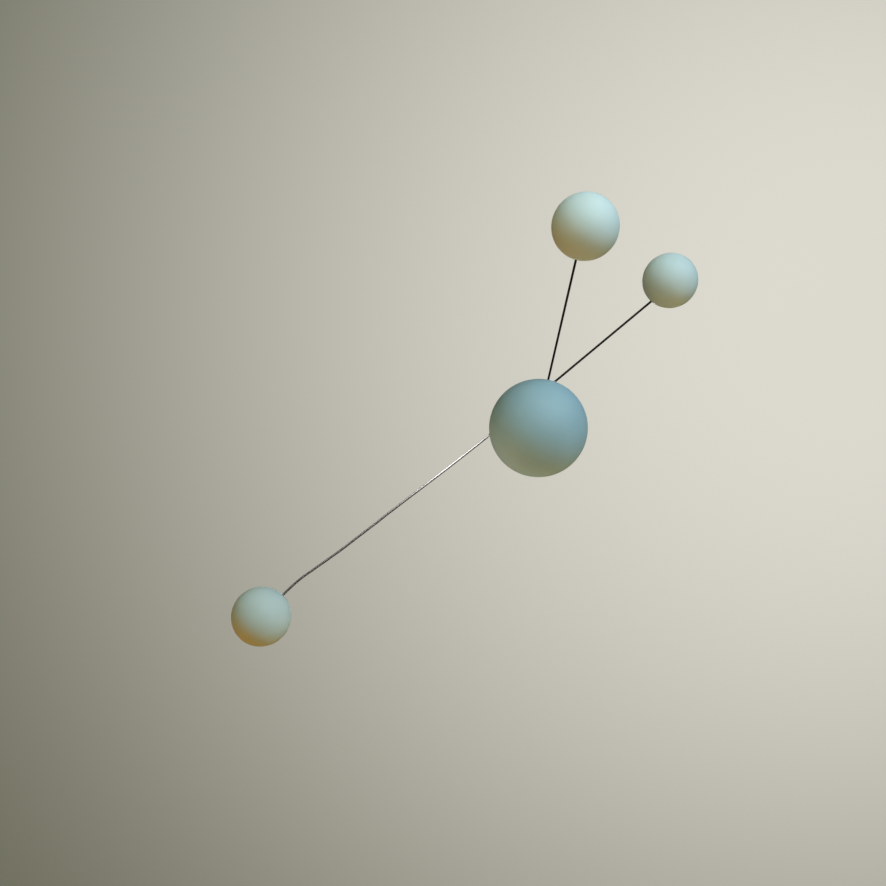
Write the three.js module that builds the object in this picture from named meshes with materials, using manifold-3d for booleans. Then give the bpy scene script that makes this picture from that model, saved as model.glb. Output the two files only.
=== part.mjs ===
// A hanging mobile: one centre ball with three arms of wire, each arm carrying a smaller ball.
// Millimetres, +Z up. The origin is the crown of the hanging eye's ring, where a thread bears.
// The arms are set out from the middle of the centre ball: each has a length, a compass bearing
// (anticlockwise from +X, seen from above) and a pitch (above or below the level).

import * as THREE from 'three';
import { mergeVertices } from 'three/addons/utils/BufferGeometryUtils.js';
import Module from 'manifold-3d';

const wasm = await Module();
wasm.setup();

// Balls
const CENTRE_BALL_RADIUS = 50;
const CENTRE_BALL_SIDES = 56;
const OUTER_BALL_SIDES = 40;

// Arms, from the middle of the centre ball to the middle of each outer ball. The aside is how far
// the wire misses the middle of the outer ball, square to the arm and level.
const LOW_ARM = { length: 219.5, bearing: -80.7, pitch: -35.7, aside: -1.5, ballRadius: 30 };
const HIGH_ARM = { length: 198.5, bearing: -48.4, pitch: -3.2, aside: 4, ballRadius: 27.5 };
const FAR_ARM = { length: 340, bearing: 145.8, pitch: -0.6, aside: -5, ballRadius: 30 };

// Every hole in the centre ball is drilled towards one point, a little under the ball's skin.
const DRILL_POINT_REACH = 40.6;
const DRILL_POINT_BEARING = -78.6;

// Wire and the holes that it is glued into
const ROD_DIAMETER = 2.2;
const FAR_WIRE_DIAMETER = 2.4;
const WIRE_SIDES = 12;
const PLUG_DEPTH = 8;
const CLEARANCE = 0.3;

// The far wire is straight for most of its way, with the slight kinks of hand straightening, and
// bows out before it dips into its ball. Each bend is [share of the way, offset to the outside].
const FAR_WIRE_START_BEARING = 140.8;
const FAR_WIRE_END_BEARING = 128;
const FAR_WIRE_BENDS = [
  [0.19, -0.4],
  [0.46, 0.1],
  [0.72, 0.3],
  [0.84, 1.7],
  [0.9, 2.3],
  [0.96, 1.4],
];
const FAR_WIRE_STEPS = 40;

// Hanging eye: a ring on a shank that stands upright in the top of the centre ball
const EYE_WIRE_DIAMETER = 2;
const EYE_INNER_DIAMETER = 8;
const EYE_NECK = 4;
const EYE_RING_STEPS = 28;
const EYE_PLUG_DEPTH = 12;

// What things weigh, in grams: light balls under a painted skin, on steel wire
const BALL_DENSITY = 0.00003;
const BALL_SKIN_WEIGHT = 0.0001;
const STEEL_DENSITY = 0.00785;

const BALL_SKIN_BLUE = 0x82a8aa;
const BALL_SKIN_MINT = 0xb4d3ca;
const ROD_BLACK = 0x0e0e0f;
const WIRE_STEEL = 0xb4b2ac;

const radians = THREE.MathUtils.degToRad;
const UP = new THREE.Vector3(0, 0, 1);

// ---- setting out

// The point at a distance from the middle of the centre ball, on a bearing and a pitch
function along(length, bearing, pitch = 0) {
  const level = length * Math.cos(radians(pitch));
  return new THREE.Vector3(
    level * Math.cos(radians(bearing)),
    level * Math.sin(radians(bearing)),
    length * Math.sin(radians(pitch)),
  );
}

const drillPoint = along(DRILL_POINT_REACH, DRILL_POINT_BEARING);

// Where the line through a point, followed in a direction, leaves a ball
function leaves(point, direction, middle, radius) {
  const toNearest = middle.clone().sub(point).dot(direction);
  const nearest = point.clone().addScaledVector(direction, toNearest);
  const half = Math.sqrt(radius ** 2 - nearest.distanceToSquared(middle));
  return nearest.addScaledVector(direction, half);
}

// An arm with a straight rod: the rod's line, its two ends and where it meets each ball
function straightArm(arm) {
  const ballMiddle = along(arm.length, arm.bearing, arm.pitch);
  const aim = ballMiddle.clone().add(along(arm.aside, arm.bearing + 90));
  const direction = aim.clone().sub(drillPoint).normalize();
  const inwards = direction.clone().negate();
  const innerMouth = leaves(drillPoint, direction, new THREE.Vector3(), CENTRE_BALL_RADIUS);
  const outerMouth = leaves(aim, inwards, ballMiddle, arm.ballRadius);
  return {
    ballMiddle,
    ballRadius: arm.ballRadius,
    innerMouth,
    outerMouth,
    innerDirection: direction,
    outerDirection: inwards,
    start: innerMouth.clone().addScaledVector(inwards, PLUG_DEPTH),
    end: outerMouth.clone().addScaledVector(direction, PLUG_DEPTH),
  };
}

// The far arm: the wire leaves the centre ball on a line from the drill point, bows and dips
function bentArm(arm) {
  const ballMiddle = along(arm.length, arm.bearing, arm.pitch);
  const innerDirection = along(1, FAR_WIRE_START_BEARING);
  innerDirection.z = ballMiddle.z / arm.length;
  innerDirection.normalize();
  const innerMouth = leaves(drillPoint, innerDirection, new THREE.Vector3(), CENTRE_BALL_RADIUS);
  const outerDirection = along(-1, FAR_WIRE_END_BEARING);
  const aim = ballMiddle.clone().add(along(arm.aside, arm.bearing + 90));
  const outerMouth = leaves(aim, outerDirection, ballMiddle, arm.ballRadius);
  return {
    ballMiddle,
    ballRadius: arm.ballRadius,
    innerMouth,
    outerMouth,
    innerDirection,
    outerDirection,
    start: innerMouth.clone().addScaledVector(innerDirection, -PLUG_DEPTH),
    end: outerMouth.clone().addScaledVector(outerDirection, -PLUG_DEPTH),
  };
}

const lowArm = straightArm(LOW_ARM);
const highArm = straightArm(HIGH_ARM);
const farArm = bentArm(FAR_ARM);

// The points that the far wire runs through, with its two plugs held straight in their holes
function farWirePoints() {
  const run = farArm.outerMouth.clone().sub(farArm.innerMouth);
  const outside = new THREE.Vector3().crossVectors(UP, run).normalize();
  const bends = FAR_WIRE_BENDS.map(([share, offset]) => {
    const onRun = farArm.innerMouth.clone().addScaledVector(run, share);
    return onRun.addScaledVector(outside, offset);
  });
  return [farArm.start, farArm.innerMouth, ...bends, farArm.outerMouth, farArm.end];
}

// ---- balance: the eye stands over the point where the whole mobile hangs level

function ballWeight(radius) {
  return BALL_DENSITY * (4 / 3) * Math.PI * radius ** 3 + BALL_SKIN_WEIGHT * 4 * Math.PI * radius ** 2;
}

function wireWeight(length, diameter) {
  return STEEL_DENSITY * Math.PI * (diameter / 2) ** 2 * length;
}

function balancePoint() {
  const loads = [[new THREE.Vector3(), ballWeight(CENTRE_BALL_RADIUS)]];
  const wires = [[lowArm, ROD_DIAMETER], [highArm, ROD_DIAMETER], [farArm, FAR_WIRE_DIAMETER]];
  for (const [arm, diameter] of wires) {
    const middle = arm.start.clone().add(arm.end).multiplyScalar(0.5);
    loads.push([arm.ballMiddle, ballWeight(arm.ballRadius)]);
    loads.push([middle, wireWeight(arm.start.distanceTo(arm.end), diameter)]);
  }
  const total = loads.reduce((sum, [, weight]) => sum + weight, 0);
  const moment = new THREE.Vector3();
  loads.forEach(([place, weight]) => moment.addScaledVector(place, weight));
  return moment.divideScalar(total);
}

const balance = balancePoint();
const eyeSkin = Math.sqrt(CENTRE_BALL_RADIUS ** 2 - balance.x ** 2 - balance.y ** 2);
const eyeFoot = new THREE.Vector3(balance.x, balance.y, eyeSkin);
const EYE_RING_RADIUS = (EYE_INNER_DIAMETER + EYE_WIRE_DIAMETER) / 2;
const EYE_CROWN = EYE_NECK + EYE_RING_RADIUS + EYE_INNER_DIAMETER / 2;

// ---- solids

function toSolid(geometry) {
  const bare = geometry.index ? geometry.clone() : geometry;
  bare.deleteAttribute('normal');
  bare.deleteAttribute('uv');
  const merged = mergeVertices(bare, 1e-4);
  const vertProperties = new Float32Array(merged.attributes.position.array);
  const triVerts = new Uint32Array(merged.index.array);
  return new wasm.Manifold(new wasm.Mesh({ numProp: 3, vertProperties, triVerts }));
}

function toGeometry(solid) {
  const mesh = solid.getMesh();
  const geometry = new THREE.BufferGeometry();
  geometry.setAttribute('position', new THREE.BufferAttribute(new Float32Array(mesh.vertProperties), 3));
  geometry.setIndex(new THREE.BufferAttribute(new Uint32Array(mesh.triVerts), 1));
  geometry.computeVertexNormals();
  return geometry;
}

// A round bar about the Z axis, from one height to another
function bar(diameter, bottom, top, sides = WIRE_SIDES) {
  const geometry = new THREE.CylinderGeometry(diameter / 2, diameter / 2, top - bottom, sides);
  return geometry.rotateX(Math.PI / 2).translate(0, 0, (top + bottom) / 2);
}

// The space that a plug needs: mouth and direction out of the ball, from the ball's own middle
function plugHole(mouth, direction, diameter, depth) {
  const hole = bar(diameter + 2 * CLEARANCE, -depth - CLEARANCE, diameter);
  hole.applyQuaternion(new THREE.Quaternion().setFromUnitVectors(UP, direction));
  return hole.translate(mouth.x, mouth.y, mouth.z);
}

function ball(radius, sides, holes) {
  const round = new THREE.SphereGeometry(radius, sides, sides / 2).rotateX(Math.PI / 2);
  const drilled = holes.reduce((solid, hole) => solid.subtract(toSolid(hole)), toSolid(round));
  return toGeometry(drilled);
}

function centreBall() {
  const arms = [[lowArm, ROD_DIAMETER], [highArm, ROD_DIAMETER], [farArm, FAR_WIRE_DIAMETER]];
  const holes = arms.map(([arm, diameter]) => {
    return plugHole(arm.innerMouth, arm.innerDirection, diameter, PLUG_DEPTH);
  });
  holes.push(plugHole(eyeFoot, UP, EYE_WIRE_DIAMETER, EYE_PLUG_DEPTH));
  return ball(CENTRE_BALL_RADIUS, CENTRE_BALL_SIDES, holes);
}

function outerBall(arm, diameter) {
  const mouth = arm.outerMouth.clone().sub(arm.ballMiddle);
  return ball(arm.ballRadius, OUTER_BALL_SIDES, [
    plugHole(mouth, arm.outerDirection, diameter, PLUG_DEPTH),
  ]);
}

function straightRod(arm) {
  const length = arm.start.distanceTo(arm.end);
  return bar(ROD_DIAMETER, 0, length);
}

function farWire() {
  const section = new THREE.Shape();
  section.absarc(0, 0, FAR_WIRE_DIAMETER / 2, 0, 2 * Math.PI);
  return new THREE.ExtrudeGeometry(section, {
    steps: FAR_WIRE_STEPS,
    curveSegments: WIRE_SIDES / 2,
    extrudePath: new THREE.CatmullRomCurve3(farWirePoints(), false, 'centripetal'),
  });
}

// The ring stands in the XZ plane and the shank goes down from it. The crown's inside is at zero.
function hangingEye() {
  const tube = EYE_WIRE_DIAMETER / 2;
  const ring = new THREE.TorusGeometry(EYE_RING_RADIUS, tube, WIRE_SIDES, EYE_RING_STEPS);
  ring.rotateX(Math.PI / 2).translate(0, 0, -EYE_INNER_DIAMETER / 2);
  const shankTop = -EYE_INNER_DIAMETER - tube;
  const shank = bar(EYE_WIRE_DIAMETER, -EYE_CROWN - EYE_PLUG_DEPTH, shankTop);
  return toGeometry(toSolid(ring).add(toSolid(shank)));
}

// ---- assembly

function piece(name, geometry, color, roughness, metalness, position) {
  const material = new THREE.MeshStandardMaterial({ color, roughness, metalness });
  const mesh = new THREE.Mesh(geometry, material);
  mesh.name = name;
  mesh.position.copy(position);
  return mesh;
}

function armGroup(name, arm, diameter, rod) {
  const group = new THREE.Group();
  const skin = [BALL_SKIN_MINT, 0.6, 0];
  group.add(piece(`${name}_ball`, outerBall(arm, diameter), ...skin, arm.ballMiddle));
  group.add(rod);
  return group;
}

function rodPiece(name, arm) {
  const rod = piece(name, straightRod(arm), ROD_BLACK, 0.45, 0, arm.start);
  rod.quaternion.setFromUnitVectors(UP, arm.innerDirection);
  return rod;
}

const wirePiece = piece('far_wire', farWire(), WIRE_STEEL, 0.3, 1, new THREE.Vector3());
const mobile = new THREE.Group();
mobile.add(piece('centre_ball', centreBall(), BALL_SKIN_BLUE, 0.6, 0, new THREE.Vector3()));
mobile.add(armGroup('low', lowArm, ROD_DIAMETER, rodPiece('low_rod', lowArm)));
mobile.add(armGroup('high', highArm, ROD_DIAMETER, rodPiece('high_rod', highArm)));
mobile.add(armGroup('far', farArm, FAR_WIRE_DIAMETER, wirePiece));

const eyeCrown = eyeFoot.clone().addScaledVector(UP, EYE_CROWN);
mobile.add(piece('hanging_eye', hangingEye(), WIRE_STEEL, 0.3, 1, eyeCrown));
mobile.position.copy(eyeCrown).negate();

const group = new THREE.Group();
group.add(mobile);

export default group;
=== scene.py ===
# %% [markdown]
# # A hanging mobile of painted balls on wire
#
# The real thing is one large blue-grey ball with three wire arms, each arm carrying a smaller mint
# ball. Light craft balls are sealed, painted matt and pushed onto wire dipped in glue. Two arms are
# short, straight and lacquered black. The third is a long bare steel wire, straightened by hand, and
# a screw eye in the top of the large ball takes the thread.
#
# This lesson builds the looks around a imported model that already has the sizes, so no place is
# measured twice: each piece starts from the box or the ends of the node that it replaces.

import math

import bpy
from mathutils import Matrix, Vector


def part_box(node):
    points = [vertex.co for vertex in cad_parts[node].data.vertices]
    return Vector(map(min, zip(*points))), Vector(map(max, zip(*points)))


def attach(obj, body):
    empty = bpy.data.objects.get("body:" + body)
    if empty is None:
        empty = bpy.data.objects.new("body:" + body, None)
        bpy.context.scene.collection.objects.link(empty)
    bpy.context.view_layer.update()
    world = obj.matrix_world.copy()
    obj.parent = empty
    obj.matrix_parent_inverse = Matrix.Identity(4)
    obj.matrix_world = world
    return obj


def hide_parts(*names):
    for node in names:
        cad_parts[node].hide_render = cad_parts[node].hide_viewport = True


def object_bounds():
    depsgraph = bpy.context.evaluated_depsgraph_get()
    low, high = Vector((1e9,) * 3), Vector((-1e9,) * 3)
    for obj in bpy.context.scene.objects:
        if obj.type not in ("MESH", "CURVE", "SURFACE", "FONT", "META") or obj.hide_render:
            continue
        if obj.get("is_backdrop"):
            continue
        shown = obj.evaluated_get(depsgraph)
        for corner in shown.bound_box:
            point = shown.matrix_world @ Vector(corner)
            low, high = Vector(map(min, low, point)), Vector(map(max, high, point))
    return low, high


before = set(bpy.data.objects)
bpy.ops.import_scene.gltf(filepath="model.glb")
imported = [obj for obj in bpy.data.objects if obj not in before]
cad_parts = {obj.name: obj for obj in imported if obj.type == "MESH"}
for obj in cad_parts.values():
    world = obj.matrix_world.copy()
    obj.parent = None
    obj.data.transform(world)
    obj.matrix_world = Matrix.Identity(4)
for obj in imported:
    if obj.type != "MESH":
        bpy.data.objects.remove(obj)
cad_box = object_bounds()
MM = 0.001
UP = Vector((0, 0, 1))
print("model box", [tuple(round(v, 4) for v in corner) for corner in cad_box])

# %% [markdown]
# ## Where the balls and wires are
#
# A ball's box gives its middle and its radius. A rod's place is better read from its two end caps:
# the vertices nearest to the centre ball are one cap and those farthest from it are the other, and
# the mean of each cap is a point on the rod's axis. Both ways follow the model if it ever changes.

# %% Read middles, radii and wire ends from the nodes


def ball_place(node):
    low, high = (Vector(corner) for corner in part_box(node))
    return (low + high) / 2, (high.x - low.x) / 2


def cap_middle(points):
    low = Vector([min(p[i] for p in points) for i in range(3)])
    high = Vector([max(p[i] for p in points) for i in range(3)])
    return (low + high) / 2


def wire_ends(node, hub, cap_reach=0.2 * MM):
    """The middles of a wire's two end caps, the one nearer the hub first."""
    points = [v.co.copy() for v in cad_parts[node].data.vertices]
    first = min(points, key=lambda p: (p - hub).length)
    last = max(points, key=lambda p: (p - hub).length)
    axis = (last - first).normalized()
    near = [p for p in points if (p - first).dot(axis) < cap_reach]
    far = [p for p in points if (last - p).dot(axis) < cap_reach]
    return cap_middle(near), cap_middle(far)


centre, centre_radius = ball_place("centre_ball")
OUTER_BALLS = {name: ball_place(f"{name}_ball") for name in ("low", "high", "far")}
ARM_WIRES = {"low": "low_rod", "high": "high_rod", "far": "far_wire"}
ENDS = {name: wire_ends(node, centre) for name, node in ARM_WIRES.items()}
for name, (start, end) in ENDS.items():
    print(name, "arm wire", round((end - start).length / MM, 1), "mm end to end")

# %% [markdown]
# ## The camera
#
# The mobile is looked at from below, as it is when it hangs over somebody's head, so the camera
# stands about a metre under the large ball and looks straight up. Turning a new camera half a turn
# about X does just that: it then looks along +Z with +X still to its right.

# %% Put the camera a metre below the large ball
VIEW_DISTANCE = 0.967
VIEW_ASIDE = Vector((-0.0969, 0.0152, 0))
LENS = 38.6
SENSOR = 36

camera_data = bpy.data.cameras.new("camera")
camera_data.lens = LENS
camera_data.sensor_width = SENSOR
camera = bpy.data.objects.new("camera", camera_data)
camera.location = centre + VIEW_ASIDE - VIEW_DISTANCE * UP
camera.rotation_euler = (math.pi, 0, 0)
bpy.context.collection.objects.link(camera)
bpy.context.scene.camera = camera

# %% [markdown]
# ## Small helpers for node trees
#
# Shader and geometry trees are made the same way, so two helpers serve both: one opens a tree with
# named sockets, and one adds a node, sets its values and wires its inputs in a single call.

# %% Helpers: open a tree, add a node
SOCKETS = {
    "geometry": "NodeSocketGeometry",
    "float": "NodeSocketFloat",
    "int": "NodeSocketInt",
    "vector": "NodeSocketVector",
    "color": "NodeSocketColor",
    "material": "NodeSocketMaterial",
}


def open_tree(name, kind, inputs, outputs):
    """A node group with named sockets, and its input and output nodes."""
    tree = bpy.data.node_groups.new(name, kind)
    for label, socket in inputs.items():
        tree.interface.new_socket(label, in_out="INPUT", socket_type=SOCKETS[socket])
    for label, socket in outputs.items():
        tree.interface.new_socket(label, in_out="OUTPUT", socket_type=SOCKETS[socket])
    return tree, tree.nodes.new("NodeGroupInput"), tree.nodes.new("NodeGroupOutput")


def add(tree, kind, settings=None, **inputs):
    """Adds a node. An input is a value or another node's output socket."""
    node = tree.nodes.new(kind)
    for key, value in (settings or {}).items():
        setattr(node, key, value)
    for key, value in inputs.items():
        place = int(key[1:]) if key[0] == "_" else key.replace("_", " ")
        socket = node.inputs[place]
        if isinstance(value, bpy.types.NodeSocket):
            tree.links.new(value, socket)
        else:
            socket.default_value = value
    return node


def math_node(tree, operation, a, b=0.0):
    return add(tree, "ShaderNodeMath", {"operation": operation}, _0=a, _1=b).outputs[0]


# %% [markdown]
# ## Geometry Nodes: a drilled, painted ball
#
# All four balls follow one rule, so one tree makes them. Its input is a handful of loose points, one
# at each hole's mouth, which carry the hole's direction and bore. The tree makes an icosphere, whose
# even triangles have no pinched pole, lets the paint lie a few hundredths of a millimetre uneven,
# drills it with a cylinder at each point and seats a small bead of painted-over glue round each
# mouth. Relief is only ever taken inwards, so that the ball stays inside its box.

# %% Build the ball tree
BEAD_SIDES = 40


def make_ball_tree():
    tree, given, result = open_tree(
        "painted_ball",
        "GeometryNodeTree",
        {
            "Mouths": "geometry",
            "Middle": "vector",
            "Radius": "float",
            "Splits": "int",
            "Relief": "float",
            "Hole Depth": "float",
            "Bead Width": "float",
            "Bead Height": "float",
            "Seed": "float",
            "Paint": "material",
        },
        {"Ball": "geometry"},
    )
    into = given.outputs
    sphere = add(tree, "GeometryNodeMeshIcoSphere", Radius=into["Radius"], Subdivisions=into["Splits"])
    place = add(tree, "GeometryNodeInputPosition").outputs[0]
    waves = add(
        tree,
        "ShaderNodeTexNoise",
        {"noise_dimensions": "4D"},
        Vector=place,
        W=into["Seed"],
        Scale=160.0,
        Detail=2.0,
    )
    sink = math_node(tree, "MULTIPLY", waves.outputs["Fac"], into["Relief"])
    inwards = add(
        tree,
        "ShaderNodeVectorMath",
        {"operation": "SCALE"},
        _0=add(tree, "GeometryNodeInputNormal").outputs[0],
        Scale=math_node(tree, "MULTIPLY", sink, -1.0),
    ).outputs[0]
    uneven = add(
        tree, "GeometryNodeSetPosition", Geometry=sphere.outputs["Mesh"], Offset=inwards
    ).outputs[0]

    # Holes: a unit cylinder on each mouth, turned to the hole's direction and scaled to its bore
    way = add(tree, "GeometryNodeInputNamedAttribute", {"data_type": "FLOAT_VECTOR"}, Name="direction")
    bore = add(tree, "GeometryNodeInputNamedAttribute", {"data_type": "FLOAT"}, Name="bore")
    turn = add(
        tree, "FunctionNodeAlignRotationToVector", {"axis": "Z"}, Vector=way.outputs[0]
    ).outputs[0]
    drill_size = add(
        tree,
        "ShaderNodeCombineXYZ",
        X=bore.outputs[0],
        Y=bore.outputs[0],
        Z=into["Hole Depth"],
    ).outputs[0]
    drill = add(tree, "GeometryNodeMeshCylinder", Vertices=BEAD_SIDES, Radius=1.0, Depth=2.0)
    drills = add(
        tree,
        "GeometryNodeInstanceOnPoints",
        Points=into["Mouths"],
        Instance=drill.outputs["Mesh"],
        Rotation=turn,
        Scale=drill_size,
    )
    cutters = add(tree, "GeometryNodeRealizeInstances", Geometry=drills.outputs[0]).outputs[0]
    drilled = add(
        tree,
        "GeometryNodeMeshBoolean",
        {"operation": "DIFFERENCE", "solver": "EXACT"},
        Mesh_1=uneven,
        Mesh_2=cutters,
    ).outputs[0]

    # Beads: a flattened sphere on each mouth, square to the ball's skin, a little lopsided
    skin_turn = add(tree, "FunctionNodeAlignRotationToVector", {"axis": "Z"}, Vector=place).outputs[0]
    bead_size = add(
        tree,
        "ShaderNodeCombineXYZ",
        X=math_node(tree, "MULTIPLY", bore.outputs[0], into["Bead Width"]),
        Y=math_node(tree, "MULTIPLY", bore.outputs[0], into["Bead Width"]),
        Z=into["Bead Height"],
    ).outputs[0]
    bead = add(
        tree, "GeometryNodeMeshUVSphere", Segments=BEAD_SIDES, Rings=BEAD_SIDES // 2, Radius=1.0
    )
    beads = add(
        tree,
        "GeometryNodeInstanceOnPoints",
        Points=into["Mouths"],
        Instance=bead.outputs["Mesh"],
        Rotation=skin_turn,
        Scale=bead_size,
    )
    placed = add(tree, "GeometryNodeRealizeInstances", Geometry=beads.outputs[0]).outputs[0]
    ripple = add(
        tree,
        "ShaderNodeTexNoise",
        {"noise_dimensions": "4D"},
        Vector=place,
        W=into["Seed"],
        Scale=420.0,
        Detail=1.0,
    )
    lumpy = add(
        tree,
        "GeometryNodeSetPosition",
        Geometry=placed,
        Offset=add(
            tree,
            "ShaderNodeVectorMath",
            {"operation": "SCALE"},
            _0=add(tree, "GeometryNodeInputNormal").outputs[0],
            Scale=math_node(
                tree, "MULTIPLY", math_node(tree, "SUBTRACT", ripple.outputs["Fac"], 0.5), 0.25 * MM
            ),
        ).outputs[0],
    ).outputs[0]

    whole = tree.nodes.new("GeometryNodeJoinGeometry")
    tree.links.new(lumpy, whole.inputs[0])
    tree.links.new(drilled, whole.inputs[0])
    moved = add(
        tree, "GeometryNodeTransform", Geometry=whole.outputs[0], Translation=into["Middle"]
    )
    smooth = add(tree, "GeometryNodeSetShadeSmooth", Geometry=moved.outputs[0])
    solid = add(tree, "GeometryNodeRealizeInstances", Geometry=smooth.outputs[0])
    done = add(
        tree, "GeometryNodeSetMaterial", Geometry=solid.outputs[0], Material=into["Paint"]
    )
    tree.links.new(done.outputs[0], result.inputs["Ball"])
    return tree


ball_tree = make_ball_tree()
print("ball tree has", len(ball_tree.nodes), "nodes")

# %% [markdown]
# ## Geometry Nodes: drawn wire
#
# A rod, a wire and a screw eye are all one round section swept along a line, which is what Curve to
# Mesh does. The line comes in as a chain of points. The tree makes it a curve, steps along it evenly,
# lets it wander a little where a hand has straightened it, and sweeps a circle down it. It also
# writes two numbers on the skin, how far along the wire a point lies and how far round it, because
# the draw marks in steel run along the wire wherever it bends, and Object coordinates can't do that.

# %% Build the wire tree
WIRE_SIDES = 28


def make_wire_tree():
    tree, given, result = open_tree(
        "drawn_wire",
        "GeometryNodeTree",
        {
            "Line": "geometry",
            "Radius": "float",
            "Step": "float",
            "Wander": "float",
            "Straight Share": "float",
            "Seed": "float",
            "Metal": "material",
        },
        {"Wire": "geometry"},
    )
    into = given.outputs
    line = add(tree, "GeometryNodeMeshToCurve", Mesh=into["Line"])
    even = add(
        tree,
        "GeometryNodeResampleCurve",
        {"mode": "LENGTH"},
        Curve=line.outputs[0],
        Length=into["Step"],
    )
    along = add(tree, "GeometryNodeSplineParameter")
    marked = add(
        tree,
        "GeometryNodeStoreNamedAttribute",
        {"data_type": "FLOAT", "domain": "POINT"},
        Geometry=even.outputs[0],
        Name="along",
        Value=along.outputs["Length"],
    )

    # The first share of the wire is dead straight, and the wander dies away again at its end
    share = along.outputs["Factor"]
    ends = math_node(
        tree,
        "MULTIPLY",
        math_node(tree, "MAXIMUM", math_node(tree, "SUBTRACT", share, into["Straight Share"]), 0.0),
        math_node(tree, "SUBTRACT", 1.0, share),
    )
    hold = add(
        tree,
        "ShaderNodeMapRange",
        {"interpolation_type": "SMOOTHSTEP"},
        Value=ends,
        From_Min=0.02,
        From_Max=0.12,
    ).outputs[0]
    sway = add(
        tree,
        "ShaderNodeTexNoise",
        {"noise_dimensions": "4D"},
        Vector=add(tree, "GeometryNodeInputPosition").outputs[0],
        W=into["Seed"],
        Scale=90.0,
        Detail=2.0,
    )
    centred = add(
        tree, "ShaderNodeVectorMath", {"operation": "SUBTRACT"}, _0=sway.outputs["Color"], _1=(0.5,) * 3
    ).outputs[0]
    offset = add(
        tree,
        "ShaderNodeVectorMath",
        {"operation": "SCALE"},
        _0=centred,
        Scale=math_node(tree, "MULTIPLY", hold, into["Wander"]),
    ).outputs[0]
    bent = add(tree, "GeometryNodeSetPosition", Geometry=marked.outputs[0], Offset=offset).outputs[0]

    ring = add(
        tree, "GeometryNodeCurvePrimitiveCircle", Resolution=WIRE_SIDES, Radius=into["Radius"]
    )
    round_mark = add(
        tree,
        "GeometryNodeStoreNamedAttribute",
        {"data_type": "FLOAT", "domain": "POINT"},
        Geometry=ring.outputs[0],
        Name="around",
        Value=add(tree, "GeometryNodeSplineParameter").outputs["Factor"],
    )
    swept = add(
        tree,
        "GeometryNodeCurveToMesh",
        Curve=bent,
        Profile_Curve=round_mark.outputs[0],
        Fill_Caps=True,
    )
    smooth = add(tree, "GeometryNodeSetShadeSmooth", Geometry=swept.outputs[0])
    solid = add(tree, "GeometryNodeRealizeInstances", Geometry=smooth.outputs[0])
    done = add(tree, "GeometryNodeSetMaterial", Geometry=solid.outputs[0], Material=into["Metal"])
    tree.links.new(done.outputs[0], result.inputs["Wire"])
    return tree


wire_tree = make_wire_tree()
print("wire tree has", len(wire_tree.nodes), "nodes")

# %% [markdown]
# ## Shader groups: what the finishes share
#
# Two effects are used by more than one finish. Brushed paint is never one flat colour: it is a shade
# thicker in one place than another, and a fine stipple catches the light. Drawn metal has fine lines
# along it. Each is a group that puts out colours, masks and heights, and each material feeds them
# to its own Principled BSDF, with its own values.

# %% Build the paint skin group


def make_paint_group():
    tree, given, result = open_tree(
        "paint_skin",
        "ShaderNodeTree",
        {
            "Paint": "color",
            "Thin": "color",
            "Patch Size": "float",
            "Stipple Size": "float",
            "Speckle": "float",
        },
        {"Color": "color", "Roughness": "float", "Height": "float"},
    )
    into = given.outputs
    place = add(tree, "ShaderNodeTexCoord").outputs["Object"]
    patches = add(
        tree,
        "ShaderNodeTexNoise",
        Vector=place,
        Scale=math_node(tree, "DIVIDE", 1.0, into["Patch Size"]),
        Detail=4.0,
        Roughness=0.55,
    ).outputs["Fac"]
    thin_mask = add(
        tree,
        "ShaderNodeMapRange",
        {"interpolation_type": "SMOOTHSTEP"},
        Value=patches,
        From_Min=0.35,
        From_Max=0.7,
    ).outputs[0]
    toned = add(
        tree, "ShaderNodeMix", {"data_type": "RGBA"}, _0=thin_mask, _6=into["Paint"], _7=into["Thin"]
    ).outputs[2]

    stipple_scale = math_node(tree, "DIVIDE", 1.0, into["Stipple Size"])
    stipple = add(
        tree, "ShaderNodeTexNoise", Vector=place, Scale=stipple_scale, Detail=3.0, Roughness=0.6
    ).outputs["Fac"]
    specks = add(
        tree,
        "ShaderNodeTexVoronoi",
        {"feature": "F1"},
        Vector=place,
        Scale=math_node(tree, "MULTIPLY", stipple_scale, 0.45),
        Randomness=1.0,
    ).outputs["Distance"]
    speck_mask = add(
        tree, "ShaderNodeMapRange", Value=specks, From_Min=0.1, From_Max=0.04
    ).outputs[0]
    lit = add(
        tree,
        "ShaderNodeMix",
        {"data_type": "RGBA", "blend_type": "MULTIPLY"},
        _0=math_node(tree, "MULTIPLY", speck_mask, into["Speckle"]),
        _6=toned,
        _7=(0.6, 0.6, 0.55, 1.0),
    ).outputs[2]
    rough = add(
        tree,
        "ShaderNodeMapRange",
        Value=math_node(tree, "ADD", math_node(tree, "MULTIPLY", stipple, 0.5), patches),
        From_Min=0.4,
        From_Max=1.1,
        To_Min=0.52,
        To_Max=0.7,
    ).outputs[0]
    height = math_node(tree, "SUBTRACT", stipple, math_node(tree, "MULTIPLY", speck_mask, 0.3))
    tree.links.new(lit, result.inputs["Color"])
    tree.links.new(rough, result.inputs["Roughness"])
    tree.links.new(height, result.inputs["Height"])
    return tree


paint_group = make_paint_group()

# %% [markdown]
# ## Fine lines along drawn wire
#
# Wire is pulled through a die, which leaves long shallow scratches, and handling leaves patches. An
# image would need a seam somewhere round the wire. Noise read on a circle has none, so the lines run
# along the wire's own length and close on themselves round its section.

# %% Build the drawn metal group


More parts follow.
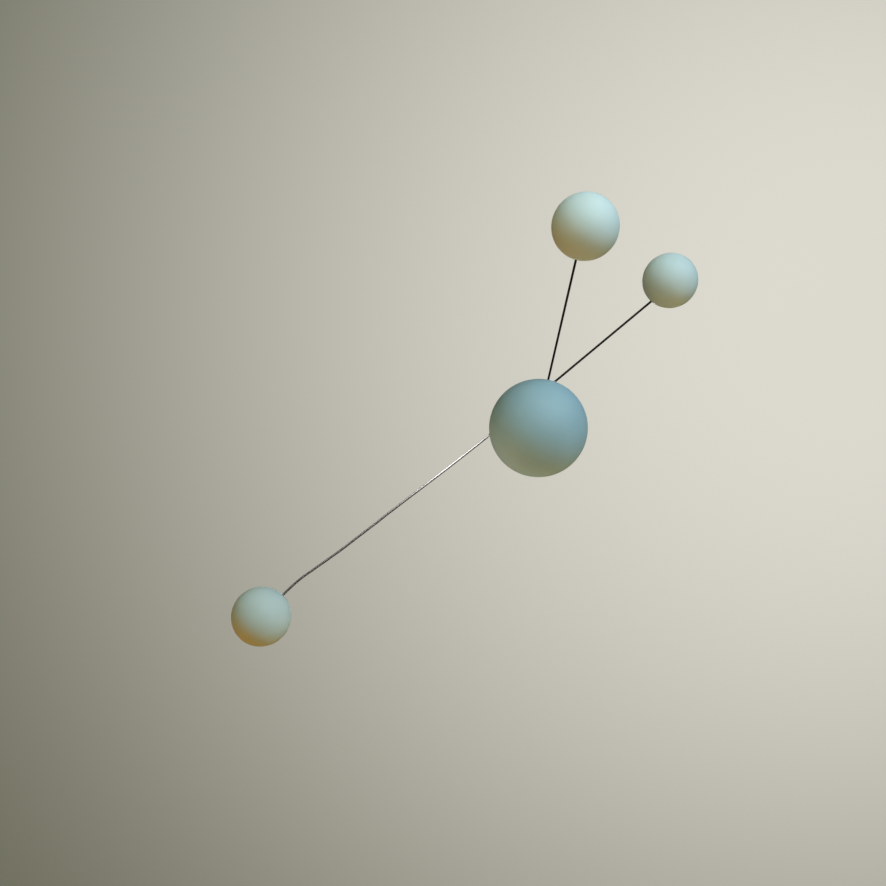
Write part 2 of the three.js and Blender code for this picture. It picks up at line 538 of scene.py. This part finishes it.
def make_drawn_group():
    tree, given, result = open_tree(
        "drawn_metal",
        "ShaderNodeTree",
        {"Line Length": "float", "Lines Round": "float", "Patch Size": "float"},
        {"Lines": "float", "Patches": "float", "Height": "float"},
    )
    into = given.outputs
    along = add(tree, "ShaderNodeAttribute", {"attribute_name": "along"}).outputs["Fac"]
    around = add(tree, "ShaderNodeAttribute", {"attribute_name": "around"}).outputs["Fac"]

    # Going round on a circle of noise keeps the lines whole where the section closes on itself
    angle = math_node(tree, "MULTIPLY", around, math.tau)
    lines_at = add(
        tree,
        "ShaderNodeCombineXYZ",
        X=math_node(tree, "MULTIPLY", math_node(tree, "COSINE", angle), into["Lines Round"]),
        Y=math_node(tree, "MULTIPLY", math_node(tree, "SINE", angle), into["Lines Round"]),
        Z=math_node(tree, "DIVIDE", along, into["Line Length"]),
    ).outputs[0]
    lines = add(
        tree, "ShaderNodeTexNoise", Vector=lines_at, Scale=1.0, Detail=3.0, Roughness=0.65
    ).outputs["Fac"]
    patch_at = add(
        tree, "ShaderNodeCombineXYZ", Z=math_node(tree, "DIVIDE", along, into["Patch Size"])
    ).outputs[0]
    patches = add(
        tree, "ShaderNodeTexNoise", Vector=patch_at, Scale=1.0, Detail=4.0, Roughness=0.6
    ).outputs["Fac"]
    tree.links.new(lines, result.inputs["Lines"])
    tree.links.new(patches, result.inputs["Patches"])
    tree.links.new(lines, result.inputs["Height"])
    return tree


drawn_group = make_drawn_group()

# %% [markdown]
# ## The finishes
#
# Matt paint is a rough dielectric, so nearly all of what it shows is its own colour and there is no
# glint to speak of. The black lacquer is thin and dull too. The bare wire is a metal: it has no
# colour of its own beyond a tint, and it shows the window where it faces it and the dark of the room
# where it doesn't. Its colour is also painted from bright near the large ball to a grey-brown towards
# its far end, a painted reflection and shade, broken up by patches of handling.

# %% Helpers and the two ball paints


def open_material(name):
    material = bpy.data.materials.new(name)
    material.use_nodes = True
    tree = material.node_tree
    return material, tree, tree.nodes["Principled BSDF"]


def use_group(tree, group, **values):
    node = add(tree, "ShaderNodeGroup", {"node_tree": group})
    for key, value in values.items():
        node.inputs[key.replace("_", " ")].default_value = value
    return node.outputs


def matt_paint(name, paint, thin):
    material, tree, shader = open_material(name)
    skin = use_group(
        tree,
        paint_group,
        Paint=(*paint, 1),
        Thin=(*thin, 1),
        Patch_Size=28 * MM,
        Stipple_Size=0.9 * MM,
        Speckle=0.25,
    )
    bump = add(tree, "ShaderNodeBump", Strength=0.12, Distance=0.12 * MM, Height=skin["Height"])
    tree.links.new(skin["Color"], shader.inputs["Base Color"])
    tree.links.new(skin["Roughness"], shader.inputs["Roughness"])
    tree.links.new(bump.outputs[0], shader.inputs["Normal"])
    shader.inputs["Specular IOR Level"].default_value = 0.3
    return material


BLUE_PAINT = (0.255, 0.46, 0.485)
BLUE_THIN = (0.27, 0.475, 0.49)
MINT_PAINT = (0.456, 0.651, 0.591)
MINT_THIN = (0.475, 0.662, 0.598)
blue_paint = matt_paint("centre_ball_paint", BLUE_PAINT, BLUE_THIN)
mint_paint = matt_paint("outer_ball_paint", MINT_PAINT, MINT_THIN)

# %% [markdown]
# ## Black lacquer on the rods
#
# The lacquer is nearly black, so almost all that shows on it is a weak reflection at its edges. A low
# specular level and a rough finish keep that reflection down, and the patches vary the black a little.

# %% Black lacquer


def make_lacquer():
    material, tree, shader = open_material("rod_lacquer")
    drawn = use_group(tree, drawn_group, Line_Length=14 * MM, Lines_Round=5.0, Patch_Size=9 * MM)
    tone = add(
        tree,
        "ShaderNodeMix",
        {"data_type": "RGBA"},
        _0=drawn["Patches"],
        _6=(0.004, 0.004, 0.0045, 1),
        _7=(0.009, 0.0085, 0.008, 1),
    ).outputs[2]
    rough = add(tree, "ShaderNodeMapRange", Value=drawn["Lines"], To_Min=0.5, To_Max=0.68).outputs[0]
    bump = add(tree, "ShaderNodeBump", Strength=0.2, Distance=0.05 * MM, Height=drawn["Height"])
    tree.links.new(tone, shader.inputs["Base Color"])
    tree.links.new(rough, shader.inputs["Roughness"])
    tree.links.new(bump.outputs[0], shader.inputs["Normal"])
    shader.inputs["Specular IOR Level"].default_value = 0.2
    return material


rod_lacquer = make_lacquer()

# %% [markdown]
# ## Bare steel that dulls along the wire
#
# The long wire's colour is painted bright near the large ball and grey-brown further out: a painted
# reflection of the window near the ball and painted shade beyond it. The wire tree stores how far along
# each point lies, so the material can go from one tone to the other at a real distance. The eye uses
# the same steel, with the change set further off than the eye is long, so it stays bright.

# %% Bare drawn steel
WIRE_RUN = (ENDS["far"][1] - ENDS["far"][0]).length


def make_steel(name, painted_shade_from, painted_shade_to):
    """Steel painted bright to grey-brown along the wire, as painted reflection and shade."""
    material, tree, shader = open_material(name)
    drawn = use_group(tree, drawn_group, Line_Length=18 * MM, Lines_Round=7.0, Patch_Size=7 * MM)
    along = add(tree, "ShaderNodeAttribute", {"attribute_name": "along"}).outputs["Fac"]
    reach = add(
        tree,
        "ShaderNodeMapRange",
        {"interpolation_type": "SMOOTHSTEP"},
        Value=along,
        From_Min=painted_shade_from,
        From_Max=painted_shade_to,
    ).outputs[0]
    patchy = add(
        tree, "ShaderNodeMapRange", Value=drawn["Patches"], From_Min=0.3, From_Max=0.7
    ).outputs[0]
    patch_share = math_node(tree, "ADD", 0.6, math_node(tree, "MULTIPLY", patchy, 0.4))
    # Painted reflection and shade along the wire, broken up by patches of handling: bright near the
    # ball, grey-brown further out
    tarnish_and_painted_shade = math_node(tree, "MULTIPLY", reach, patch_share)
    tone = add(
        tree,
        "ShaderNodeMix",
        {"data_type": "RGBA"},
        _0=tarnish_and_painted_shade,
        _6=(0.78, 0.77, 0.74, 1),
        _7=(0.42, 0.4, 0.36, 1),
    ).outputs[2]
    lined = math_node(tree, "ADD", math_node(tree, "MULTIPLY", drawn["Lines"], 0.12), 0.16)
    rough = math_node(tree, "ADD", lined, math_node(tree, "MULTIPLY", tarnish_and_painted_shade, 0.25))
    bump = add(tree, "ShaderNodeBump", Strength=0.2, Distance=0.02 * MM, Height=drawn["Height"])
    tree.links.new(tone, shader.inputs["Base Color"])
    tree.links.new(rough, shader.inputs["Roughness"])
    tree.links.new(bump.outputs[0], shader.inputs["Normal"])
    shader.inputs["Metallic"].default_value = 1.0
    return material


wire_steel = make_steel("wire_steel", 0.25 * WIRE_RUN, 0.5 * WIRE_RUN)
PAST_THE_EYE = (1.0, 2.0)
eye_steel = make_steel("eye_steel", *PAST_THE_EYE)

# %% [markdown]
# ## Making the pieces
#
# Each piece starts as a small mesh of points, takes a tree as its modifier, and is then turned into a
# plain mesh with new_from_object, so that nothing live is left on it. The modifier's inputs are set by
# their sockets' identifiers, which is how Blender stores them. A helper does all of that.

# %% Helper: run a tree on some points and keep the mesh


def run_tree(name, tree, values, points, chained=False, marks=None):
    """A plain mesh object made by a geometry tree from loose or chained points."""
    seed_mesh = bpy.data.meshes.new(name)
    links = [(i, i + 1) for i in range(len(points) - 1)] if chained else []
    seed_mesh.from_pydata([tuple(p) for p in points], links, [])
    for mark, (kind, marked) in (marks or {}).items():
        layer = seed_mesh.attributes.new(mark, kind, "POINT")
        for item, value in zip(layer.data, marked):
            setattr(item, "vector" if kind == "FLOAT_VECTOR" else "value", value)
    start = bpy.data.objects.new(name + "_points", seed_mesh)
    bpy.context.collection.objects.link(start)
    modifier = start.modifiers.new(tree.name, "NODES")
    modifier.node_group = tree
    for item in tree.interface.items_tree:
        if item.in_out == "INPUT" and item.name in values:
            modifier[item.identifier] = values[item.name]
    seen = bpy.context.evaluated_depsgraph_get()
    seen.update()
    mesh = bpy.data.meshes.new_from_object(start.evaluated_get(seen))
    bpy.data.objects.remove(start)
    mesh.name = name
    piece = bpy.data.objects.new(name, mesh)
    bpy.context.collection.objects.link(piece)
    print(f"{name}: {len(mesh.vertices)} vertices, {len(mesh.polygons)} faces")
    return piece


def settle(piece, slot, *nodes):
    """Hangs a finished piece on the root body and hides the model nodes that it stands for."""
    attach(piece, "root")
    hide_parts(*nodes)


# %% [markdown]
# ## Holes and their mouths
#
# A wire is pushed a little way into its ball. Its hole starts where the wire's line leaves the skin,
# and that point is worked out from the buried tip: it is where a line meets a sphere.

# %% Where each wire goes into each ball
ROD_RADIUS = 1.1 * MM
FAR_WIRE_RADIUS = 1.2 * MM
EYE_WIRE_RADIUS = 1.0 * MM
WIRE_RADIUS = {"low": ROD_RADIUS, "high": ROD_RADIUS, "far": FAR_WIRE_RADIUS}
PLUG = 8 * MM


def mouth_on(ball_middle, radius, tip, direction):
    """Where the line from a buried tip, followed outwards, leaves the ball's skin."""
    inside = tip - ball_middle
    across = inside.dot(direction)
    reach = -across + math.sqrt(across**2 - inside.length_squared + radius**2)
    return inside + reach * direction


# %% [markdown]
# ## The line of each wire
#
# The rods are straight between their buried tips. The far wire repeats the bends of the model: straight
# for most of its way, then a bow to the outside and a dip into its ball. A centripetal Catmull-Rom curve
# goes through the points without looping where they are close together, which the plain kind may do.

# %% The far wire's line and the rods' directions
FAR_START_BEARING = math.radians(140.8)
FAR_END_BEARING = math.radians(128)
FAR_BENDS = [(0.19, -0.4), (0.46, 0.1), (0.72, 0.3), (0.84, 1.7), (0.9, 2.3), (0.96, 1.4)]


def far_wire_points():
    start, end = ENDS["far"]
    middle = OUTER_BALLS["far"][0] - centre
    way_out = Vector((math.cos(FAR_START_BEARING), math.sin(FAR_START_BEARING), 0))
    way_out.z = middle.z / middle.length
    way_out.normalize()
    way_in = Vector((math.cos(FAR_END_BEARING), math.sin(FAR_END_BEARING), 0))
    first_mouth = start + PLUG * way_out
    last_mouth = end - PLUG * way_in
    run = last_mouth - first_mouth
    outside = UP.cross(run).normalized()
    bends = [first_mouth + share * run + offset * MM * outside for share, offset in FAR_BENDS]
    return [start, first_mouth, *bends, last_mouth, end], way_out, way_in


def through(points, steps=14):
    """A centripetal Catmull-Rom curve through the points."""
    ghosts = [2 * points[0] - points[1], *points, 2 * points[-1] - points[-2]]
    line = []
    for p0, p1, p2, p3 in zip(ghosts, ghosts[1:], ghosts[2:], ghosts[3:]):
        t1 = math.sqrt((p1 - p0).length)
        t2 = t1 + math.sqrt((p2 - p1).length)
        t3 = t2 + math.sqrt((p3 - p2).length)
        for step in range(steps):
            t = t1 + (t2 - t1) * step / steps
            a1 = p0.lerp(p1, t / t1)
            a2 = p1.lerp(p2, (t - t1) / (t2 - t1))
            a3 = p2.lerp(p3, (t - t2) / (t3 - t2))
            b1 = a1.lerp(a2, t / t2)
            b2 = a2.lerp(a3, (t - t1) / (t3 - t1))
            line.append(b1.lerp(b2, (t - t1) / (t2 - t1)))
    return line + [points[-1]]


far_points, far_way_out, far_way_in = far_wire_points()
ways_out = {name: (end - start).normalized() for name, (start, end) in ENDS.items()}
ways_in = dict(ways_out)
ways_out["far"] = far_way_out
ways_in["far"] = far_way_in

# %% [markdown]
# ## The hanging eye
#
# A real eye is one length of wire, bent round a pin, with a small gap where its end comes back to the
# shank. So it is made as one line with one bend, and swept like the other wires.

# %% The hanging eye's line
EYE_RING_RADIUS = 5 * MM
EYE_GAP_ANGLE = math.radians(24)
EYE_SHANK_BEND = 2.2 * MM
EYE_RING_STEPS = 64
EYE_BEND_STEPS = 6
eye_foot = Vector((0, 0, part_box("hanging_eye")[0][2]))


def eye_points():
    """Up the shank, round a small bend and on round the ring, to end just short of the shank."""
    foot = eye_foot.z
    ring_middle = Vector((0, 0, EYE_WIRE_RADIUS - EYE_RING_RADIUS))
    joins = math.asin(EYE_SHANK_BEND / (EYE_RING_RADIUS + EYE_SHANK_BEND))
    bend_height = ring_middle.z - (EYE_RING_RADIUS + EYE_SHANK_BEND) * math.cos(joins)
    points = [Vector((0, 0, foot)), Vector((0, 0, (foot + bend_height) / 2))]
    for step in range(EYE_BEND_STEPS + 1):
        angle = (math.pi / 2 - joins) * step / EYE_BEND_STEPS
        turned = Vector((math.cos(angle) - 1, 0, math.sin(angle)))
        points.append(Vector((0, 0, bend_height)) + EYE_SHANK_BEND * turned)
    first = -math.pi / 2 - joins
    turn = math.tau - joins - EYE_GAP_ANGLE
    for step in range(1, EYE_RING_STEPS + 1):
        angle = first - turn * step / EYE_RING_STEPS
        points.append(ring_middle + EYE_RING_RADIUS * Vector((math.cos(angle), 0, math.sin(angle))))
    return points


# %% [markdown]
# ## Sweep the wires
#
# The two rods and the eye keep exactly to their lines. Only the far wire wanders, from where its first
# straight stretch ends, because a hand never gets a long wire quite straight again.

# %% Make the rods, the far wire and the eye
ROD_STEP = 2 * MM
FAR_STEP = 1 * MM
EYE_STEP = 0.4 * MM
FAR_WANDER = 0.7 * MM
STRAIGHT_SHARE = 0.35


def make_wire(name, node, slot, metal, line, radius, step, seed, wander=0.0):
    values = {
        "Radius": radius,
        "Step": step,
        "Wander": wander,
        "Seed": seed,
        "Metal": metal,
        "Straight Share": STRAIGHT_SHARE,
    }
    piece = run_tree(name, wire_tree, values, line, chained=True)
    settle(piece, slot, node)


for seed, arm in ((1.0, "low"), (2.0, "high")):
    make_wire(
        f"{arm}_rod_lacquered",
        f"{arm}_rod",
        "rod_lacquer",
        rod_lacquer,
        ENDS[arm],
        ROD_RADIUS,
        ROD_STEP,
        seed,
    )
make_wire(
    "far_wire_drawn",
    "far_wire",
    "wire_steel",
    wire_steel,
    through(far_points),
    FAR_WIRE_RADIUS,
    FAR_STEP,
    3.0,
    wander=FAR_WANDER,
)
make_wire(
    "hanging_eye_bent",
    "hanging_eye",
    "wire_steel",
    eye_steel,
    eye_points(),
    EYE_WIRE_RADIUS,
    EYE_STEP,
    4.0,
)

# %% [markdown]
# ## Make the balls
#
# Each ball gets one mouth for each wire that goes into it: one for an outer ball, and four for the
# large one, the fourth for the eye. The large ball's faces are split once more than the others', so
# that the triangles on all four are small enough for the coat's relief.

# %% Drill and paint the balls
PAINT_RELIEF = 0.05 * MM
BEAD_WIDTH = 1.75
BEAD_HEIGHT = 0.5 * MM
BORE_EASE = 0.05 * MM
LARGE_SPLITS = 7
SMALL_SPLITS = 6


def make_ball(node, slot, paint, middle, radius, splits, mouths, seed):
    """mouths: one (place from the ball's middle, direction, wire radius) for each wire."""
    places, directions, bores = zip(*mouths)
    values = {
        "Middle": tuple(middle),
        "Radius": radius,
        "Splits": splits,
        "Relief": PAINT_RELIEF,
        "Hole Depth": PLUG,
        "Bead Width": BEAD_WIDTH,
        "Bead Height": BEAD_HEIGHT,
        "Seed": seed,
        "Paint": paint,
    }
    marks = {
        "direction": ("FLOAT_VECTOR", directions),
        "bore": ("FLOAT", [bore + BORE_EASE for bore in bores]),
    }
    piece = run_tree(f"{node}_painted", ball_tree, values, places, marks=marks)
    settle(piece, slot, node)


def centre_mouth(tip, way, wire_radius):
    return mouth_on(centre, centre_radius, tip, way), way, wire_radius


centre_mouths = [centre_mouth(ENDS[arm][0], ways_out[arm], WIRE_RADIUS[arm]) for arm in ENDS]
centre_mouths.append(centre_mouth(eye_foot, UP, EYE_WIRE_RADIUS))
make_ball(
    "centre_ball",
    "centre_ball_paint",
    blue_paint,
    centre,
    centre_radius,
    LARGE_SPLITS,
    centre_mouths,
    5.0,
)
for seed, (arm, (middle, radius)) in enumerate(OUTER_BALLS.items()):
    way = -ways_in[arm]
    mouth = (mouth_on(middle, radius, ENDS[arm][1], way), way, WIRE_RADIUS[arm])
    make_ball(
        f"{arm}_ball",
        "outer_ball_paint",
        mint_paint,
        middle,
        radius,
        SMALL_SPLITS,
        [mouth],
        6.0 + seed,
    )

# %% [markdown]
# ## The room
#
# The mobile hangs under a pale ceiling, over a pale floor, in the light of a window and of a warm lamp.
# The ceiling is only there for a camera below it: its back is see-through, so that a view from above
# still shows the mobile. What the camera sees on it is painted light and shade: an emission that only
# camera rays meet, bright towards the window and dark away from it. So its looks can be set without
# changing the light on the balls.

# %% Ceiling and floor
CEILING_HEIGHT = 1.0
CEILING_HALF = 1.5
FLOOR_HEIGHT = -2.6
FLOOR_HALF = 6.0


def plane(name, height, half, faces_down, material):
    corners = [(-1, -1), (1, -1), (1, 1), (-1, 1)]
    if faces_down:
        corners.reverse()
    mesh = bpy.data.meshes.new(name)
    mesh.from_pydata([(half * x, half * y, height) for x, y in corners], [], [(0, 1, 2, 3)])
    mesh.materials.append(material)
    sheet = bpy.data.objects.new(name, mesh)
    bpy.context.collection.objects.link(sheet)
    sheet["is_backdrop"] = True


# Where the painted pool of window light on the ceiling lies, and how far out it fades to painted shade
GLOW_MIDDLE = Vector((0.826, -0.266, 0))
GLOW_STRETCH = (1.0, 1.01, 0)
GLOW_NEAR, GLOW_FAR = 0.17, 2.45


def make_ceiling_material():
    material, tree, shader = open_material("ceiling_painted_light")
    seen = add(tree, "ShaderNodeLightPath").outputs["Is Camera Ray"]
    shader.inputs["Base Color"].default_value = (0.03, 0.03, 0.03, 1)
    shader.inputs["Roughness"].default_value = 0.9

    place = add(tree, "ShaderNodeTexCoord").outputs["Object"]
    offset = add(
        tree, "ShaderNodeVectorMath", {"operation": "SUBTRACT"}, _0=place, _1=GLOW_MIDDLE
    ).outputs[0]
    squashed = add(
        tree, "ShaderNodeVectorMath", {"operation": "MULTIPLY"}, _0=offset, _1=GLOW_STRETCH
    ).outputs[0]
    away = add(tree, "ShaderNodeVectorMath", {"operation": "LENGTH"}, _0=squashed).outputs["Value"]
    near = add(
        tree,
        "ShaderNodeMapRange",
        {"interpolation_type": "SMOOTHSTEP"},
        Value=away,
        From_Min=GLOW_FAR,
        From_Max=GLOW_NEAR,
    ).outputs[0]
    # Painted light and shade: bright towards the window and dark away from it, seen by the camera alone
    glow = add(
        tree,
        "ShaderNodeMix",
        {"data_type": "RGBA"},
        _0=near,
        _6=(0.131, 0.136, 0.096, 1),
        _7=(0.693, 0.675, 0.596, 1),
    ).outputs[2]
    tree.links.new(glow, shader.inputs["Emission Color"])
    tree.links.new(seen, shader.inputs["Emission Strength"])
    back = add(tree, "ShaderNodeNewGeometry").outputs["Backfacing"]
    clear = add(tree, "ShaderNodeBsdfTransparent").outputs[0]
    mix = add(tree, "ShaderNodeMixShader", _0=back, _1=shader.outputs[0], _2=clear).outputs[0]
    tree.links.new(mix, tree.nodes["Material Output"].inputs["Surface"])
    return material


def make_floor_material():
    material, tree, shader = open_material("floor_pale")
    seen = add(tree, "ShaderNodeLightPath").outputs["Is Camera Ray"]
    shader.inputs["Base Color"].default_value = (0.2, 0.2, 0.19, 1)
    shader.inputs["Roughness"].default_value = 0.8
    shader.inputs["Emission Color"].default_value = (0.58, 0.57, 0.53, 1)
    tree.links.new(seen, shader.inputs["Emission Strength"])
    return material


plane("ceiling", CEILING_HEIGHT, CEILING_HALF, True, make_ceiling_material())
plane("floor", FLOOR_HEIGHT, FLOOR_HALF, False, make_floor_material())

# %% [markdown]
# ## The lights
#
# Cool light falls from a window and the sky on one side, and warm light comes back from lamps and walls
# on the other. To balance so many lights, each was rendered alone and the lot weighed against each
# other until the shading on the balls was right. The lamps and bounces don't show in the steel, which
# would turn orange. The light from above is for views from there.

# %% Helpers for lights, and the lights


def soft_light(name, place, size, power, color, spread=180, aim=centre, along=UP):
    """An area light that faces its aim. Its second side lies as near as it can to along."""
    data = bpy.data.lights.new(name, "AREA")
    data.shape = "RECTANGLE"
    data.size, data.size_y = size
    data.energy = power
    data.color = color
    data.spread = math.radians(spread)
    light = bpy.data.objects.new(name, data)
    back = (place - aim).normalized()
    side = along.cross(back).normalized()
    turn = Matrix((side, back.cross(side), back)).transposed()
    light.matrix_world = Matrix.Translation(place) @ turn.to_4x4()
    light.visible_camera = False
    bpy.context.collection.objects.link(light)
    return light


def from_centre(x, y, z):
    return centre + Vector((x, y, z))


def warm_light(*settings, **more):
    """A fill for the paint alone, which the steel doesn't show."""
    soft_light(*settings, **more).visible_glossy = False


soft_light("window", from_centre(0.11, -0.45, -0.6), (0.45, 0.45), 1.5, (0.9, 0.91, 1.0))
soft_light("sky", from_centre(1.0, -1.24, -1.2), (1.0, 1.0), 30, (0.77, 0.8, 1.0))
warm_light("lamp", from_centre(-0.92, 1.31, -0.08), (1.4, 0.8), 10, (1.0, 0.32, 0.0))
warm_light("low_lamp", from_centre(0.65, 1.13, -0.92), (1.0, 1.0), 4.0, (1.0, 0.62, 0.0))
warm_light("wall_glow", from_centre(-1.0, -0.84, -0.92), (1.0, 1.0), 5.3, (1.0, 0.71, 0.21))
warm_light("bounce", from_centre(0.2, 0.35, 0.1), (0.3, 0.3), 0.73, (1.0, 0.77, 0.58))
warm_light("side_bounce", from_centre(-0.13, 0.1, -0.03), (0.08, 0.08), 0.056, (1.0, 0.8, 0.71))
top = soft_light("top", from_centre(0.0, 0.001, 0.8), (1.6, 1.6), 7, (1.0, 0.98, 0.95), spread=30)
top.visible_glossy = False

# %% [markdown]
# ## A bright strip for the steel
#
# A thin wire shows only a narrow slice of the room, so its glint is chancy. A long strip light, set
# across the wire and left out of diffuse light, gives the near stretch of the wire its bright line.

# %% A strip that only the steel can show
GLINT_ANGLE = math.radians(55)
GLINT_DISTANCE = 1.0
GLINT_ALONG = 35 * MM
glint_middle = ENDS["far"][0] + GLINT_ALONG * far_way_out
across_wire = UP.cross(far_way_out).normalized()
glint_way = math.sin(GLINT_ANGLE) * across_wire - math.cos(GLINT_ANGLE) * UP
glint_place = glint_middle + GLINT_DISTANCE * glint_way
glint = soft_light(
    "glint",
    glint_place,
    (0.16, 2.0),
    3.0,
    (0.97, 0.98, 1.0),
    aim=glint_middle,
    along=across_wire,
)
glint.visible_diffuse = False

# %% [markdown]
# ## The world
#
# The world fills in the light that comes from everywhere, dimly. What the steel shows of it and what
# the camera sees of it are set apart by the kind of ray, because a pale backdrop shown in the steel
# would hide the wire against it.

# %% The world


def make_world(lit_color, shown_color, seen_color):
    """Lights the mobile with one colour, shows in the steel as a second, is seen as a third."""
    world = bpy.data.worlds.new("room_light")
    world.use_nodes = True
    tree = world.node_tree
    ray = add(tree, "ShaderNodeLightPath").outputs
    shown = add(
        tree,
        "ShaderNodeMix",
        {"data_type": "RGBA"},
        _0=ray["Is Glossy Ray"],
        _6=lit_color,
        _7=shown_color,
    ).outputs[2]
    seen = add(
        tree, "ShaderNodeMix", {"data_type": "RGBA"}, _0=ray["Is Camera Ray"], _6=shown, _7=seen_color
    ).outputs[2]
    tree.links.new(seen, tree.nodes["Background"].inputs["Color"])
    return world


bpy.context.scene.world = make_world(
    (0.1, 0.1, 0.1, 1), (0.14, 0.13, 0.12, 1), (0.62, 0.61, 0.57, 1)
)
bpy.context.scene.view_settings.view_transform = "Standard"

# %% [markdown]
# ## Check the size and finish
#
# Both boxes, the model's and the dressed mobile's, are printed side by side. The dressed mobile
# must not be larger than the model.

# %% Print both boxes and finish
dressed_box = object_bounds()
for axis, *sides in zip("XYZ", *cad_box, *dressed_box):
    low_cad, high_cad, low, high = (round(side, 5) for side in sides)
    print(axis, "model", low_cad, high_cad, "dressed", low, high)
